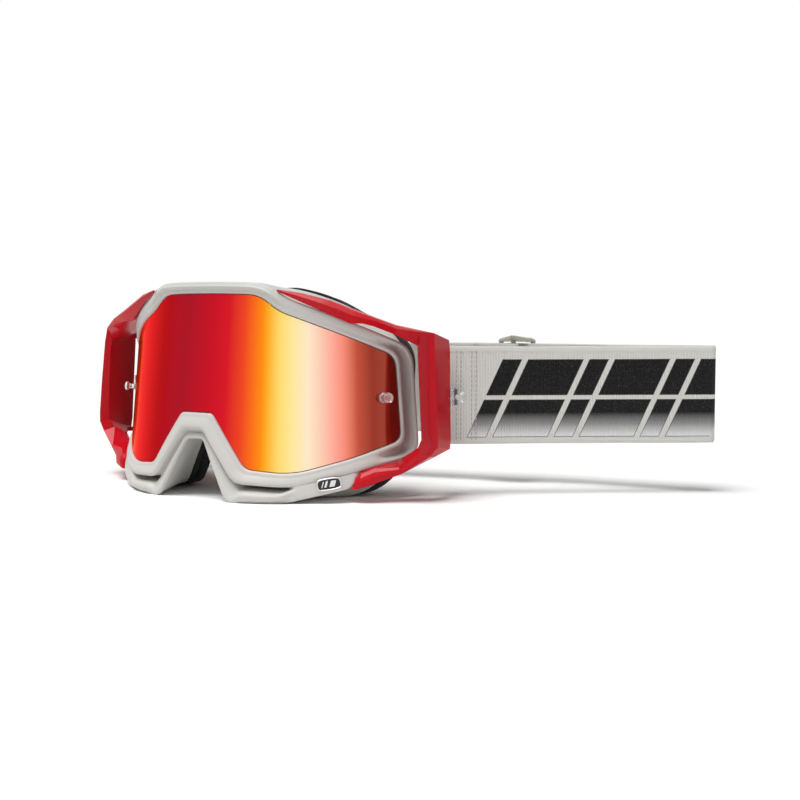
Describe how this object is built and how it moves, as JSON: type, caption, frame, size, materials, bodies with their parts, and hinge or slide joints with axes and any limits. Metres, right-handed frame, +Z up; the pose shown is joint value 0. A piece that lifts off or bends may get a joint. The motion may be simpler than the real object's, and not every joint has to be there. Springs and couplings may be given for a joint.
{
  "type": "motorcycle goggles",
  "caption": "Off-road riding goggles with a curved mirrored lens, soft frame, side outriggers, layered face foam and a wide elastic strap folded to one side.",
  "frame": {"origin": "on the floor in the middle plane of the goggles, below the front of the lens", "axes": "+X to the viewer's right, -Y out of the lens, +Z up"},
  "size_m": [0.3006, 0.1478, 0.0987],
  "materials": {
    "frame": "satin soft moulded plastic",
    "lens": "red mirror coating, polished",
    "gasket": "matt",
    "clear": "clear moulded",
    "outrigger": "gloss moulded",
    "foam": "open-cell foam",
    "fleece": "brushed fleece",
    "webbing": "ribbed elastic webbing with a printed pattern",
    "grip": "silicone lines",
    "thread": "sewing thread",
    "slider": "translucent moulded",
    "bezel": "metallised",
    "badge": "gloss"
  },
  "bodies": {
    "goggles": {"frame": "frame", "lens_gasket": "gasket", "outrigger_left": "outrigger", "outrigger_right": "outrigger", "tab_post_left": "clear", "tab_post_right": "clear", "foam_base": "foam", "foam_middle": "foam", "foam_fleece": "fleece", "vent_foam_top": "foam", "vent_foam_low_left": "foam", "vent_foam_low_right": "foam", "strap_band": "webbing", "strap_tail": "webbing", "strap_grips": "grip", "end_stitches": "thread", "badge_bezel": "bezel", "badge_plate": "badge"},
    "lens_unit": {"lens": "lens", "tear_off_post_left": "clear", "tear_off_post_right": "clear", "post_washer_left": "clear", "post_washer_right": "clear"},
    "slider": {"strap_slider": "slider"}
  },
  "joints": [
    {"name": "lens_release", "type": "slide", "parent": "goggles", "child": "lens_unit", "axis": [0, -0.9925, 0.1219], "range_m": [0, 0.03]},
    {"name": "slider_travel", "type": "slide", "parent": "goggles", "child": "slider", "axis": [0.9808, 0.195, 0], "range_m": [-0.09, 0.05], "deforming": ["strap_tail"]}
  ]
}
